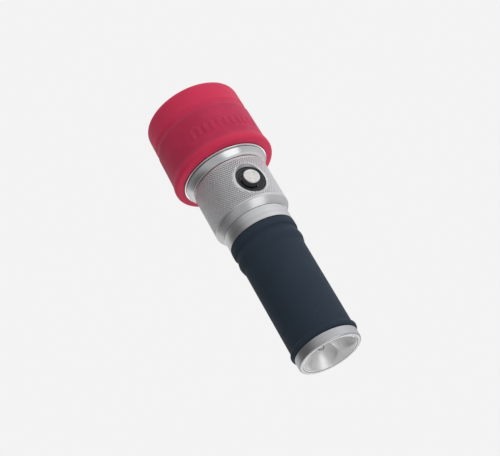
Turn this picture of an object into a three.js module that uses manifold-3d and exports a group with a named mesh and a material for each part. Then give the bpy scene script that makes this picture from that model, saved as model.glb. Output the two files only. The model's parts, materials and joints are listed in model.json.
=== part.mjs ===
// Hand-held traffic light: an aluminium torch with a red silicone diffuser boot over its head.
// Millimetres. The light stands on the flat front of its boot, with +Z running from that face up to
// the tail. The origin is the centre of the front face, and the thumb button faces -Y.

import * as THREE from 'three';
import { mergeVertices } from 'three/addons/utils/BufferGeometryUtils.js';
import Module from 'manifold-3d';

const wasm = await Module();
wasm.setup();

// ---------------------------------------------------------------- driving dimensions

const LENGTH = 131.25; // front face to tail rim
const OUTER_FACETS = 28; // facets of the large round pieces
const INNER_FACETS = 16; // facets of the small round pieces

const BOOT_FRONT_RADIUS = 21.85;
const BOOT_MID_RADIUS = 22.3;
const BOOT_LIP_RADIUS = 23.2;
const BOOT_LENGTH = 34.9;
const BOOT_BORE_RADIUS = 19.35;
const BOOT_FACE_THICKNESS = 2.4;
const BOOT_GROOVE_START = 10.7;
const BOOT_GROOVE_END = 13.4;
const BOOT_GROOVE_DEPTH = 0.25;

const HEAD_RADIUS = 19.1;
const HEAD_BORE_RADIUS = 17.5;
const HEAD_FRONT = 2.7; // front of the bezel, just clear of the boot's face
const HEAD_FLANGE_START = 34.95; // bright ring that shows behind the boot's lip
const HEAD_FLANGE_RADIUS = 19.6;
const HEAD_REAR = 35.55;

const COLLAR_NECK_RADIUS = 18.7; // narrow gap between the head and the collar's skirt
const COLLAR_SKIRT_START = 36.15;
const COLLAR_SKIRT_RADIUS = 19.15;
const COLLAR_SKIRT_HOLLOW = 1.25; // 1 would be a straight cone
const HOUSING_START = 39.3;
const HOUSING_RADIUS = 17;
const HOUSING_BORE_RADIUS = 13.6;
const HOUSING_BORE_START = 41.5; // rear face of the stub that the collar sits on
const HOUSING_BORE_END = 60;
const HOUSING_CHAMFER_START = 61.3;
const HOUSING_END = 64.4;
const NECK_RADIUS = 14.8;

const TUBE_BORE_RADIUS = 11.4;
const TUBE_RADIUS = 12.5;
const TUBE_FOOT_RADIUS = 13.2; // thicker ring that the tail cap closes on
const TUBE_START = 60.2;
const TUBE_FOOT_START = 123;
const TUBE_END = 126.6;

const GRIP_START = 70.75;
const GRIP_END = 126.65;
const GRIP_RADIUS = 14.0;
const GRIP_BEAD_RADIUS = 14.88;
const FIRST_BEAD_END = 74.5;
const SECOND_BEAD_START = 76.4;
const SECOND_BEAD_END = 81.2;
const REAR_BEAD_START = 124.1;

const BUTTON_HEIGHT = 51.1; // how far up the housing the button's centre is
const BUTTON_RADIUS = 3.65;
const BUTTON_RING_RADIUS = 6.4;
const BUTTON_HOLE_RADIUS = 6.6;
const BUTTON_TRAVEL = 1.2;

const CELL_RADIUS = 5.15;
const CELL_LENGTH = 44.5;
const CELL_PITCH_RADIUS = 6.05;
const CARRIER_RADIUS = 11.1;
const CARRIER_START = 66.3;
const CARRIER_PLATE = 2.0;

const TAIL_START = 126.75;
const TAIL_STUB_START = 118.6;
const TAIL_RADIUS = 14.0;
const TAIL_RIM_RADIUS = 12.2;
const TAIL_STUB_RADIUS = 11.2;
const TAIL_LIGHT_RADIUS = 10.2;
const TAIL_LAMP_COUNT = 3;
const TAIL_LAMP_PITCH_RADIUS = 3.9;
const TAIL_LAMP_RADIUS = 1.5;
const TAIL_BOWL_RADIUS = 8.1;

const GAP = 0.1; // clearance between pieces that only touch

// ---------------------------------------------------------------- materials

function material(color, roughness, metalness) {
  return new THREE.MeshStandardMaterial({ color, roughness, metalness });
}

const MATERIALS = {
  redSilicone: () => material(0xb02838, 0.45, 0),
  aluminium: () => material(0xb4b6b8, 0.35, 1),
  polished: () => material(0xd6d8da, 0.12, 1),
  blackRubber: () => material(0x20262d, 0.75, 0),
  blackPlastic: () => material(0x15171a, 0.35, 0),
  clear: () => material(0xeef2f4, 0.05, 0),
  led: () => material(0xf0e8b0, 0.2, 0),
  brass: () => material(0xb58b3c, 0.3, 1),
  steel: () => material(0x9a9da0, 0.3, 1),
  board: () => material(0x1f5a34, 0.5, 0),
  cell: () => material(0x2d4f86, 0.4, 0),
  redWire: () => material(0xa01818, 0.5, 0),
  blackWire: () => material(0x101010, 0.5, 0),
};

// ---------------------------------------------------------------- geometry helpers

/** Merges shared vertices and drops the empty triangles that a lathe leaves on its axis. */
function weld(geometry) {
  const bare = geometry.clone();
  bare.deleteAttribute('normal');
  bare.deleteAttribute('uv');
  const merged = mergeVertices(bare, 1e-4);
  const index = merged.index.array;
  const kept = [];
  for (let i = 0; i < index.length; i += 3) {
    const [a, b, c] = [index[i], index[i + 1], index[i + 2]];
    if (a !== b && b !== c && a !== c) {
      kept.push(a, b, c);
    }
  }
  merged.setIndex(kept);
  return merged;
}

/** Turns a closed outline of [radius, height] points about the Z axis. */
function lathe(outline, facets = INNER_FACETS) {
  const points = outline.map(([radius, height]) => new THREE.Vector2(radius, height));
  if (THREE.ShapeUtils.area(points) < 0) {
    points.reverse();
  }
  const closedByAxis = points[0].x === 0 && points[points.length - 1].x === 0;
  if (!closedByAxis) {
    points.push(points[0].clone());
  }
  return weld(new THREE.LatheGeometry(points, facets).rotateX(Math.PI / 2));
}

/** A plain disc or rod along Z from one height to another. */
function disc(radius, from, to, facets = INNER_FACETS) {
  return lathe([[0, from], [radius, from], [radius, to], [0, to]], facets);
}

/** A box given by its lowest and highest corners. */
function box(low, high) {
  const size = high.map((value, axis) => value - low[axis]);
  const middle = high.map((value, axis) => (value + low[axis]) / 2);
  return weld(new THREE.BoxGeometry(...size).translate(...middle));
}

/** A rubber ring lying flat at a height. */
function torus(radius, thickness, height) {
  const sides = 5;
  return weld(new THREE.TorusGeometry(radius, thickness, sides, OUTER_FACETS).translate(0, 0, height));
}

/** Points of a circular arc in an outline, from one angle to another in degrees. */
function arc(centreRadius, centreHeight, arcRadius, fromDegrees, toDegrees, steps) {
  const points = [];
  for (let i = 0; i <= steps; i += 1) {
    const angle = THREE.MathUtils.degToRad(fromDegrees + ((toDegrees - fromDegrees) * i) / steps);
    points.push([
      centreRadius + arcRadius * Math.cos(angle),
      centreHeight + arcRadius * Math.sin(angle),
    ]);
  }
  return points;
}

/** A wire swept along a curve, with closed ends. */
function wire(curve, thickness, steps) {
  const section = new THREE.Shape();
  const sides = 5;
  for (let i = 0; i < sides; i += 1) {
    const angle = (2 * Math.PI * i) / sides;
    const x = thickness * Math.cos(angle);
    const y = thickness * Math.sin(angle);
    if (i === 0) {
      section.moveTo(x, y);
    } else {
      section.lineTo(x, y);
    }
  }
  section.closePath();
  return weld(new THREE.ExtrudeGeometry(section, { steps, extrudePath: curve, bevelEnabled: false }));
}

/** A helix about the Z axis whose radius changes evenly along it. */
class Helix extends THREE.Curve {
  constructor(startRadius, endRadius, from, to, turns) {
    super();
    Object.assign(this, { startRadius, endRadius, from, to, turns });
  }

  getPoint(t, target = new THREE.Vector3()) {
    const radius = this.startRadius + (this.endRadius - this.startRadius) * t;
    const angle = 2 * Math.PI * this.turns * t;
    const height = this.from + (this.to - this.from) * t;
    return target.set(radius * Math.cos(angle), radius * Math.sin(angle), height);
  }
}

/** A coil spring between two heights. */
function coil(startRadius, endRadius, thickness, from, to, turns) {
  const curve = new Helix(startRadius, endRadius, from + thickness, to - thickness, turns);
  return wire(curve, thickness, Math.round(turns * 10));
}

function toSolid(geometry) {
  const welded = weld(geometry);
  const mesh = new wasm.Mesh({
    numProp: 3,
    vertProperties: new Float32Array(welded.attributes.position.array),
    triVerts: new Uint32Array(welded.index.array),
  });
  return new wasm.Manifold(mesh);
}

function toGeometry(solid) {
  const mesh = solid.getMesh();
  const geometry = new THREE.BufferGeometry();
  geometry.setAttribute('position', new THREE.BufferAttribute(new Float32Array(mesh.vertProperties), 3));
  geometry.setIndex(new THREE.BufferAttribute(new Uint32Array(mesh.triVerts), 1));
  return geometry;
}

/** The first geometry with every other one cut out of it. */
function cut(body, ...tools) {
  const solid = tools.reduce((left, tool) => left.subtract(toSolid(tool)), toSolid(body));
  return toGeometry(solid);
}

/** Angles at even steps round the Z axis. */
function roundTheAxis(count, offsetDegrees = 0) {
  return Array.from({ length: count }, (_, i) =>
    THREE.MathUtils.degToRad(offsetDegrees + (360 * i) / count));
}

function piece(name, geometry, makeMaterial) {
  const mesh = new THREE.Mesh(geometry, makeMaterial());
  mesh.name = name;
  return mesh;
}

// ---------------------------------------------------------------- red boot

function redBoot() {
  const boreEnd = BOOT_LENGTH - 1.2;
  const outline = [
    [0, 0],
    ...arc(BOOT_FRONT_RADIUS - 2.6, 2.6, 2.6, -90, 0, 4),
    [BOOT_FRONT_RADIUS + 0.2, BOOT_GROOVE_START],
    [BOOT_FRONT_RADIUS + 0.2 - BOOT_GROOVE_DEPTH, BOOT_GROOVE_START + 0.3],
    [BOOT_FRONT_RADIUS + 0.2 - BOOT_GROOVE_DEPTH, BOOT_GROOVE_END - 0.3],
    [BOOT_MID_RADIUS, BOOT_GROOVE_END],
    [BOOT_MID_RADIUS + 0.15, 24.5],
    [BOOT_MID_RADIUS + 0.4, 29.5],
    [BOOT_LIP_RADIUS - 0.15, 31.8],
    [BOOT_LIP_RADIUS, 33.2],
    [BOOT_LIP_RADIUS - 0.35, 34.5],
    [BOOT_LIP_RADIUS - 1.1, BOOT_LENGTH],
    [BOOT_BORE_RADIUS + 0.7, BOOT_LENGTH],
    [BOOT_BORE_RADIUS, boreEnd],
    [BOOT_BORE_RADIUS, BOOT_FACE_THICKNESS],
    [0, BOOT_FACE_THICKNESS],
  ];
  return piece('red_diffuser_boot', lathe(outline, OUTER_FACETS), MATERIALS.redSilicone);
}

// ---------------------------------------------------------------- head

const BEZEL_THREAD_RADIUS = HEAD_BORE_RADIUS + 0.3;
const BEZEL_SHOULDER = HEAD_FRONT + 2.2;
const BEZEL_END = HEAD_FRONT + 5.9;
const LENS_SEAT = HEAD_FRONT + 1.5;
const LENS_THICKNESS = 2;
const LENS_RADIUS = 17;
const REFLECTOR_FRONT = 7.5;
const REFLECTOR_BACK = 23.8;
const REFLECTOR_FRONT_RADIUS = 16.1;
const REFLECTOR_BACK_RADIUS = 3.8;
const STAR_FRONT = 24;
const PILL_FRONT = 25.6;
const PILL_END = 31;
const COLLAR_STUB_START = 31.5;
const COLLAR_STUB_RADIUS = 14.1;
const HOUSING_STUB_START = 33.5;
const HOUSING_STUB_RADIUS = 12.3;
const HOUSING_STUB_WALL = 1.6;
const LEAD_OFFSET = 6.2;

function frontBezelRing() {
  const outline = [
    [LENS_RADIUS - 0.8, HEAD_FRONT],
    [HEAD_RADIUS - 0.4, HEAD_FRONT],
    [HEAD_RADIUS, HEAD_FRONT + 0.4],
    [HEAD_RADIUS, BEZEL_SHOULDER],
    [BEZEL_THREAD_RADIUS, BEZEL_SHOULDER],
    [BEZEL_THREAD_RADIUS, BEZEL_END],
    [LENS_RADIUS + GAP, BEZEL_END],
    [LENS_RADIUS + GAP, LENS_SEAT],
    [LENS_RADIUS - 0.8, LENS_SEAT],
  ];
  return piece('front_bezel_ring', lathe(outline, OUTER_FACETS), MATERIALS.aluminium);
}

function frontLens() {
  const start = LENS_SEAT + 0.05;
  const lens = disc(LENS_RADIUS, start, start + LENS_THICKNESS, OUTER_FACETS);
  return piece('front_lens', lens, MATERIALS.clear);
}

function lensRing() {
  const ringRadius = 16.4;
  const thickness = 0.45;
  const height = LENS_SEAT + LENS_THICKNESS + thickness + 0.1;
  return piece('lens_o_ring', torus(ringRadius, thickness, height), MATERIALS.blackRubber);
}

function headShell() {
  const threadRadius = BEZEL_THREAD_RADIUS + GAP;
  const rearWallStart = 31.2;
  const outline = [
    [threadRadius, BEZEL_SHOULDER + GAP],
    [HEAD_RADIUS, BEZEL_SHOULDER + GAP],
    [HEAD_RADIUS, HEAD_FLANGE_START],
    [HEAD_FLANGE_RADIUS, HEAD_FLANGE_START],
    [HEAD_FLANGE_RADIUS, HEAD_REAR - 0.2],
    [HEAD_FLANGE_RADIUS - 0.2, HEAD_REAR],
    [COLLAR_STUB_RADIUS + GAP, HEAD_REAR],
    [COLLAR_STUB_RADIUS + GAP, rearWallStart],
    [HEAD_BORE_RADIUS, rearWallStart],
    [HEAD_BORE_RADIUS, BEZEL_END + 0.4],
    [threadRadius, BEZEL_END + 0.4],
  ];
  return piece('head_shell', lathe(outline, OUTER_FACETS), MATERIALS.aluminium);
}

/** A paraboloid's radius at a height, from its radii at the reflector's two ends. */
function paraboloidRadius(height) {
  const span = REFLECTOR_BACK - REFLECTOR_FRONT;
  const perHeight = (REFLECTOR_FRONT_RADIUS ** 2 - REFLECTOR_BACK_RADIUS ** 2) / span;
  return Math.sqrt(REFLECTOR_BACK_RADIUS ** 2 + perHeight * (REFLECTOR_BACK - height));
}

function mainReflector() {
  const wall = 0.8;
  const steps = 6;
  const inside = [];
  for (let i = 0; i <= steps; i += 1) {
    const height = REFLECTOR_FRONT + ((REFLECTOR_BACK - REFLECTOR_FRONT) * i) / steps;
    inside.push([paraboloidRadius(height), height]);
  }
  const outside = inside.map(([radius, height]) => [radius + wall, height]).reverse();
  return piece('main_reflector', lathe([...inside, ...outside], 24), MATERIALS.polished);
}

/** Two small holes through a disc for the lamp's leads. */
function leadHoles(from, to) {
  return [-LEAD_OFFSET, LEAD_OFFSET].map((x) => disc(0.8, from, to, 10).translate(x, 0, 0));
}

function ledPill() {
  const body = lathe([
    [0, PILL_FRONT],
    [11, PILL_FRONT],
    [11, PILL_FRONT + 2.4],
    [HEAD_BORE_RADIUS - GAP, PILL_FRONT + 2.4],
    [HEAD_BORE_RADIUS - GAP, PILL_END],
    [0, PILL_END],
  ], 28);
  return piece('led_pill', cut(body, ...leadHoles(PILL_FRONT - 1, PILL_END + 1)), MATERIALS.brass);
}

function ledStarBoard() {
  const outline = new THREE.Shape();
  const points = 6;
  for (let i = 0; i < points * 2; i += 1) {
    const angle = (Math.PI * i) / points;
    const radius = i % 2 === 0 ? 8.4 : 7.2;
    const x = radius * Math.cos(angle);
    const y = radius * Math.sin(angle);
    if (i === 0) {
      outline.moveTo(x, y);
    } else {
      outline.lineTo(x, y);
    }
  }
  outline.closePath();
  const depth = PILL_FRONT - STAR_FRONT - GAP;
  const board = new THREE.ExtrudeGeometry(outline, { depth, bevelEnabled: false });
  board.translate(0, 0, STAR_FRONT);
  const drilled = cut(board, ...leadHoles(STAR_FRONT - 1, PILL_FRONT + 1));
  return piece('led_star_board', drilled, MATERIALS.aluminium);
}

function mainLed() {
  const base = STAR_FRONT - 0.05;
  const outline = [
    [0, base],
    [2.4, base],
    [2.4, base - 0.8],
    [1.7, base - 0.8],
    ...arc(0, base - 0.9, 1.7, 0, -90, 4).slice(0, -1),
    [0, base - 2.6],
  ];
  return piece('main_led', lathe(outline, 16), MATERIALS.led);
}

function headCollar() {
  const skirtEnd = HOUSING_START - GAP;
  const endRadius = HOUSING_RADIUS + 0.2;
  const skirt = [];
  const steps = 5;
  for (let i = 0; i <= steps; i += 1) {
    const t = i / steps;
    skirt.push([
      endRadius + (COLLAR_SKIRT_RADIUS - endRadius) * (1 - t) ** COLLAR_SKIRT_HOLLOW,
      COLLAR_SKIRT_START + (skirtEnd - COLLAR_SKIRT_START) * t,
    ]);
  }
  const outline = [
    [HOUSING_STUB_RADIUS + GAP, COLLAR_STUB_START],
    [COLLAR_STUB_RADIUS, COLLAR_STUB_START],
    [COLLAR_STUB_RADIUS, HEAD_REAR + GAP],
    [COLLAR_NECK_RADIUS, HEAD_REAR + GAP],
    [COLLAR_NECK_RADIUS, COLLAR_SKIRT_START],
    ...skirt,
    [HOUSING_STUB_RADIUS + GAP, skirtEnd],
  ];
  return piece('head_collar', lathe(outline, OUTER_FACETS), MATERIALS.polished);
}

const LEAD_BEND = 36;
const LEAD_END = 43.4; // at the driver board

/** A wire from the driver board up to the lamp's board, through its hole in the pill. */
function lead(name, side, makeMaterial) {
  const wireRadius = 0.45;
  const curve = new THREE.CatmullRomCurve3([
    new THREE.Vector3(side * LEAD_OFFSET, 0, STAR_FRONT - 0.3),
    new THREE.Vector3(side * LEAD_OFFSET, 0, COLLAR_STUB_START - 1.5),
    new THREE.Vector3(side * (LEAD_OFFSET - 0.4), -0.6, LEAD_BEND),
    new THREE.Vector3(side * (LEAD_OFFSET - 1), -1.8, LEAD_END),
  ]);
  return piece(name, wire(curve, wireRadius, 12), makeMaterial);
}

// ---------------------------------------------------------------- switch housing and button

const HEAD_SEAL_HEIGHT = 37;
const HOUSING_SEAL_HEIGHT = 62.1;
const SEAL_GROOVE_HALF_WIDTH = 0.6;
const SEAL_GROOVE_DEPTH = 0.9;
const SEAL_THICKNESS = 0.4; // radius of the ring's round section

function switchHousing() {
  const grooveStart = HEAD_SEAL_HEIGHT - SEAL_GROOVE_HALF_WIDTH;
  const grooveEnd = HEAD_SEAL_HEIGHT + SEAL_GROOVE_HALF_WIDTH;
  const outline = [
    [HOUSING_STUB_RADIUS - HOUSING_STUB_WALL, HOUSING_STUB_START],
    [HOUSING_STUB_RADIUS, HOUSING_STUB_START],
    [HOUSING_STUB_RADIUS, grooveStart],
    [HOUSING_STUB_RADIUS - SEAL_GROOVE_DEPTH, grooveStart],
    [HOUSING_STUB_RADIUS - SEAL_GROOVE_DEPTH, grooveEnd],
    [HOUSING_STUB_RADIUS, grooveEnd],
    [HOUSING_STUB_RADIUS, HOUSING_START],
    [HOUSING_RADIUS - 0.3, HOUSING_START],
    [HOUSING_RADIUS, HOUSING_START + 0.3],
    [HOUSING_RADIUS, HOUSING_CHAMFER_START],
    [HOUSING_RADIUS - 2, HOUSING_END],
    [TUBE_FOOT_RADIUS + GAP, HOUSING_END],
    [TUBE_FOOT_RADIUS + GAP, HOUSING_BORE_END],
    [HOUSING_BORE_RADIUS, HOUSING_BORE_END],
    [HOUSING_BORE_RADIUS, HOUSING_BORE_START],
    [HOUSING_STUB_RADIUS - HOUSING_STUB_WALL, HOUSING_BORE_START],
  ];
  const hole = disc(BUTTON_HOLE_RADIUS, 8, HOUSING_RADIUS + 3, OUTER_FACETS).rotateX(Math.PI / 2);
  hole.translate(0, 0, BUTTON_HEIGHT);
  return piece('switch_housing', cut(lathe(outline, OUTER_FACETS), hole), MATERIALS.aluminium);
}

function headORing() {
  const ring = torus(HOUSING_STUB_RADIUS - SEAL_THICKNESS, SEAL_THICKNESS, HEAD_SEAL_HEIGHT);
  return piece('head_o_ring', ring, MATERIALS.blackRubber);
}

// The button's own axis is Z inside this group, with zero on the torch's axis.
const RING_FACE = 15.65;
const RING_BACK = 11.2;
const RING_WALL_END = 13.2;
const BUTTON_FACE = 17.9;
const BUTTON_FLANGE_START = 12.3;
const BUTTON_FLANGE_END = 13.0;
const SWITCH_TOP = 10.2;

function switchSurround() {
  const bore = BUTTON_RADIUS + 0.25;
  const outline = [
    [5.2, RING_BACK],
    [BUTTON_RING_RADIUS, RING_BACK],
    [BUTTON_RING_RADIUS, RING_FACE - 0.2],
    [BUTTON_RING_RADIUS - 0.25, RING_FACE],
    [BUTTON_RING_RADIUS - 0.7, RING_FACE],
    [BUTTON_RING_RADIUS - 1.5, RING_FACE - 0.75],
    [bore + 0.1, RING_FACE - 1],
    [bore, RING_FACE - 1.1],
    [bore, RING_WALL_END],
    [5.2, RING_WALL_END],
  ];
  return piece('switch_surround', lathe(outline, 28), MATERIALS.blackPlastic);
}

function buttonCap() {
  const outline = [
    [0, BUTTON_FLANGE_START],
    [4.7, BUTTON_FLANGE_START],
    [4.7, BUTTON_FLANGE_END],
    [BUTTON_RADIUS, BUTTON_FLANGE_END],
    [BUTTON_RADIUS, BUTTON_FACE - 0.35],
    [BUTTON_RADIUS - 0.35, BUTTON_FACE],
    [0, BUTTON_FACE],
  ];
  return piece('button_cap', lathe(outline, 24), MATERIALS.polished);
}

function buttonPlunger() {
  const plunger = disc(1.4, SWITCH_TOP + 0.1, BUTTON_FLANGE_START - GAP, 12);
  return piece('button_plunger', plunger, MATERIALS.blackPlastic);
}

function buttonSpring() {
  const coilRadius = 2.6;
  const wireRadius = 0.2;
  const turns = 2.5;
  const end = BUTTON_FLANGE_START - GAP;
  const spring = coil(coilRadius, coilRadius, wireRadius, SWITCH_TOP + 0.1, end, turns);
  return piece('button_spring', spring, MATERIALS.steel);
}

function switchBody() {
  const body = box([-5, -5, 5.1], [5, 5, SWITCH_TOP]);
  const well = disc(1.7, SWITCH_TOP - BUTTON_TRAVEL - 0.4, SWITCH_TOP + 1, 16);
  return piece('switch_body', cut(body, well), MATERIALS.blackPlastic);
}

function driverBoard() {
  return piece('driver_board', box([-9, -8.5, 3.4], [9, 7.25, 5]), MATERIALS.board);
}

function driverChip() {
  return piece('driver_chip', box([-2.5, -5.5, 1.5], [2.5, -0.5, 3.3]), MATERIALS.blackPlastic);
}

// ---------------------------------------------------------------- battery section

const CARRIER_END = CARRIER_START + 2 * CARRIER_PLATE + CELL_LENGTH + 2 * GAP;
const CELL_START = CARRIER_START + CARRIER_PLATE + GAP;

function batteryTube() {
  const grooveStart = HOUSING_SEAL_HEIGHT - SEAL_GROOVE_HALF_WIDTH;
  const grooveEnd = HOUSING_SEAL_HEIGHT + SEAL_GROOVE_HALF_WIDTH;
  const mouth = TUBE_FOOT_RADIUS - 0.9;
  const outline = [
    [TUBE_BORE_RADIUS, TUBE_START],
    [TUBE_FOOT_RADIUS, TUBE_START],
    [TUBE_FOOT_RADIUS, grooveStart],
    [TUBE_FOOT_RADIUS - 0.9, grooveStart],
    [TUBE_FOOT_RADIUS - 0.9, grooveEnd],
    [TUBE_FOOT_RADIUS, grooveEnd],
    [TUBE_FOOT_RADIUS, HOUSING_END + GAP],
    [NECK_RADIUS, HOUSING_END + GAP],
    [NECK_RADIUS, GRIP_START - GAP],
    [TUBE_RADIUS, GRIP_START - GAP],
    [TUBE_RADIUS, TUBE_FOOT_START],
    [TUBE_FOOT_RADIUS, TUBE_FOOT_START],
    [TUBE_FOOT_RADIUS, TUBE_END],
    [mouth, TUBE_END],
    [mouth, TUBE_END - 1.7],
    [TUBE_BORE_RADIUS, TUBE_END - 1.7],
  ];
  return piece('battery_tube', lathe(outline, OUTER_FACETS), MATERIALS.aluminium);
}

function housingORing() {
  const ring = torus(TUBE_FOOT_RADIUS - SEAL_THICKNESS, SEAL_THICKNESS, HOUSING_SEAL_HEIGHT);
  return piece('housing_o_ring', ring, MATERIALS.blackRubber);
}

function gripSleeve() {
  const outline = [
    [TUBE_RADIUS + GAP, GRIP_START],
    [GRIP_BEAD_RADIUS - 0.3, GRIP_START],
    [GRIP_BEAD_RADIUS, GRIP_START + 0.6],
    [GRIP_BEAD_RADIUS, FIRST_BEAD_END - 0.6],
    [GRIP_BEAD_RADIUS - 0.3, FIRST_BEAD_END],
    [GRIP_RADIUS + 0.1, FIRST_BEAD_END + 0.3],
    [GRIP_RADIUS + 0.1, SECOND_BEAD_START - 0.6],
    [GRIP_BEAD_RADIUS - 0.5, SECOND_BEAD_START],
    [GRIP_BEAD_RADIUS, SECOND_BEAD_START + 2.5],
    [GRIP_BEAD_RADIUS - 0.5, SECOND_BEAD_END],
    [GRIP_RADIUS, SECOND_BEAD_END + 0.8],
    [GRIP_RADIUS, REAR_BEAD_START],
    [GRIP_BEAD_RADIUS - 0.2, REAR_BEAD_START + 0.5],
    [GRIP_BEAD_RADIUS, REAR_BEAD_START + 1],
    [GRIP_BEAD_RADIUS - 0.1, REAR_BEAD_START + 1.9],
    [GRIP_BEAD_RADIUS - 0.6, GRIP_END],
    [TUBE_FOOT_RADIUS + GAP, GRIP_END],
    [TUBE_FOOT_RADIUS + GAP, TUBE_FOOT_START - GAP],
    [TUBE_RADIUS + GAP, TUBE_FOOT_START - GAP],
  ];
  return piece('grip_sleeve', lathe(outline, OUTER_FACETS), MATERIALS.blackRubber);
}

const CONTACT_BOARD_START = 58.6;
const CONTACT_BOARD_END = 59.8;
const FRONT_SPRING_END = 65.2;

function contactBoard() {
  const board = disc(TUBE_FOOT_RADIUS - 0.1, CONTACT_BOARD_START, CONTACT_BOARD_END, 24);
  return piece('contact_board', board, MATERIALS.board);
}

function frontContactSpring() {
  const wideRadius = 3.6;
  const narrowRadius = 2;
  const wireRadius = 0.35;
  const turns = 3.5;
  const start = CONTACT_BOARD_END + 0.1;
  const spring = coil(wideRadius, narrowRadius, wireRadius, start, FRONT_SPRING_END, turns);
  return piece('front_contact_spring', spring, MATERIALS.steel);
}

/** One end plate of the cell carrier, with a socket for the spine. */
function carrierPlate(name, from) {
  const plate = disc(CARRIER_RADIUS, from, from + CARRIER_PLATE, 28);
  const socket = disc(0.7 + 0.05, from - 1, from + CARRIER_PLATE + 1, 10);
  return piece(name, cut(plate, socket), MATERIALS.blackPlastic);
}

function carrierSpine() {
  return piece('carrier_spine', disc(0.6, CARRIER_START, CARRIER_END, 10), MATERIALS.steel);
}

function batteryCells() {
  return roundTheAxis(3, 90).map((angle, i) => {
    const outline = [
      [0, CELL_START],
      [1.9, CELL_START],
      [1.9, CELL_START + 0.9],
      [CELL_RADIUS - 0.4, CELL_START + 0.9],
      [CELL_RADIUS, CELL_START + 1.3],
      [CELL_RADIUS, CELL_START + CELL_LENGTH],
      [0, CELL_START + CELL_LENGTH],
    ];
    const cell = piece(`battery_cell_${i + 1}`, lathe(outline, 16), MATERIALS.cell);
    cell.position.set(CELL_PITCH_RADIUS * Math.cos(angle), CELL_PITCH_RADIUS * Math.sin(angle), 0);
    return cell;
  });
}

function carrierContacts() {
  return [
    piece('carrier_front_contact', disc(3, CARRIER_START - 1, CARRIER_START - 0.05), MATERIALS.brass),
    piece('carrier_rear_contact', disc(5, CARRIER_END + 0.05, CARRIER_END + 0.5), MATERIALS.brass),
  ];
}

// ---------------------------------------------------------------- tail light

const TAIL_BOARD_START = 121;
const TAIL_BOARD_END = 122.3;
const TAIL_INSERT_START = 122.4;
const TAIL_INSERT_SHOULDER = 127.6;
const TAIL_INSERT_END = 130.95;
const TAIL_FUNNEL_RADIUS = 7; // the insert slopes down to here before the bowls are cut
const TAIL_FUNNEL_DEPTH = 3.1;

function tailCap() {
  const bore = TAIL_LIGHT_RADIUS + 0.3;
  const outline = [
    [bore, TAIL_STUB_START],
    [TAIL_STUB_RADIUS, TAIL_STUB_START],
    [TAIL_STUB_RADIUS, TAIL_START],
    [TAIL_RADIUS - 0.3, TAIL_START],
    [TAIL_RADIUS, TAIL_START + 0.3],
    [TAIL_RADIUS, LENGTH - 0.5],
    [TAIL_RADIUS - 0.5, LENGTH],
    [TAIL_RIM_RADIUS + 0.1, LENGTH],
    [TAIL_RIM_RADIUS, LENGTH - 0.2],
    [TAIL_RIM_RADIUS, TAIL_INSERT_SHOULDER - 0.1],
    [bore, TAIL_INSERT_SHOULDER - 0.1],
  ];
  return piece('tail_cap', lathe(outline, OUTER_FACETS), MATERIALS.aluminium);
}

function tailORing() {
  const ringRadius = 11.75;
  const thickness = 0.38;
  const height = 125.9;
  return piece('tail_o_ring', torus(ringRadius, thickness, height), MATERIALS.blackRubber);
}

/** Middle of the tail lamp that stands at an angle round the axis. */
function lampPlace(angle) {
  return [TAIL_LAMP_PITCH_RADIUS * Math.cos(angle), TAIL_LAMP_PITCH_RADIUS * Math.sin(angle), 0];
}

/** The cavity of one bowl: a paraboloid opening towards the tail, centred on its lamp. */
function bowl(angle) {
  const floor = TAIL_INSERT_START + 1.3;
  const steps = 6;
  const outline = [[0, floor]];
  for (let i = 1; i <= steps; i += 1) {
    const radius = (TAIL_BOWL_RADIUS * i) / steps;
    outline.push([radius, floor + (TAIL_INSERT_END - floor) * (i / steps) ** 2]);
  }
  outline.push([TAIL_BOWL_RADIUS, TAIL_INSERT_END + 1], [0, TAIL_INSERT_END + 1]);
  return lathe(outline, 20).translate(...lampPlace(angle));
}

function tailReflector() {
  const rim = TAIL_RIM_RADIUS - 0.15;
  const body = lathe([
    [0, TAIL_INSERT_START],
    [TAIL_LIGHT_RADIUS, TAIL_INSERT_START],
    [TAIL_LIGHT_RADIUS, TAIL_INSERT_SHOULDER],
    [rim, TAIL_INSERT_SHOULDER],
    [rim, TAIL_INSERT_END],
    [rim - 0.3, TAIL_INSERT_END],
    [rim - 0.5, TAIL_INSERT_END - 0.3],
    [TAIL_FUNNEL_RADIUS, TAIL_INSERT_END - TAIL_FUNNEL_DEPTH],
    [0, TAIL_INSERT_END - TAIL_FUNNEL_DEPTH],
  ], OUTER_FACETS);
  const angles = roundTheAxis(TAIL_LAMP_COUNT, 90);
  const holes = angles.map((angle) => {
    const hole = disc(TAIL_LAMP_RADIUS + 0.3, TAIL_INSERT_START - 1, TAIL_INSERT_END, 16);
    return hole.translate(...lampPlace(angle));
  });
  return piece('tail_reflector', cut(body, ...angles.map(bowl), ...holes), MATERIALS.polished);
}

function tailLamps() {
  return roundTheAxis(TAIL_LAMP_COUNT, 90).map((angle, i) => {
    const base = TAIL_BOARD_END + 0.05;
    const domeCentre = base + 2.6;
    const outline = [
      [0, base],
      [TAIL_LAMP_RADIUS, base],
      ...arc(0, domeCentre, TAIL_LAMP_RADIUS, 0, 90, 4).slice(0, -1),
      [0, domeCentre + TAIL_LAMP_RADIUS],
    ];
    const lamp = piece(`tail_led_${i + 1}`, lathe(outline, 16), MATERIALS.clear);
    lamp.position.set(...lampPlace(angle));
    return lamp;
  });
}

function tailBoard() {
  const board = disc(TAIL_LIGHT_RADIUS - 0.3, TAIL_BOARD_START, TAIL_BOARD_END, 24);
  return piece('tail_led_board', board, MATERIALS.board);
}

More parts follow.
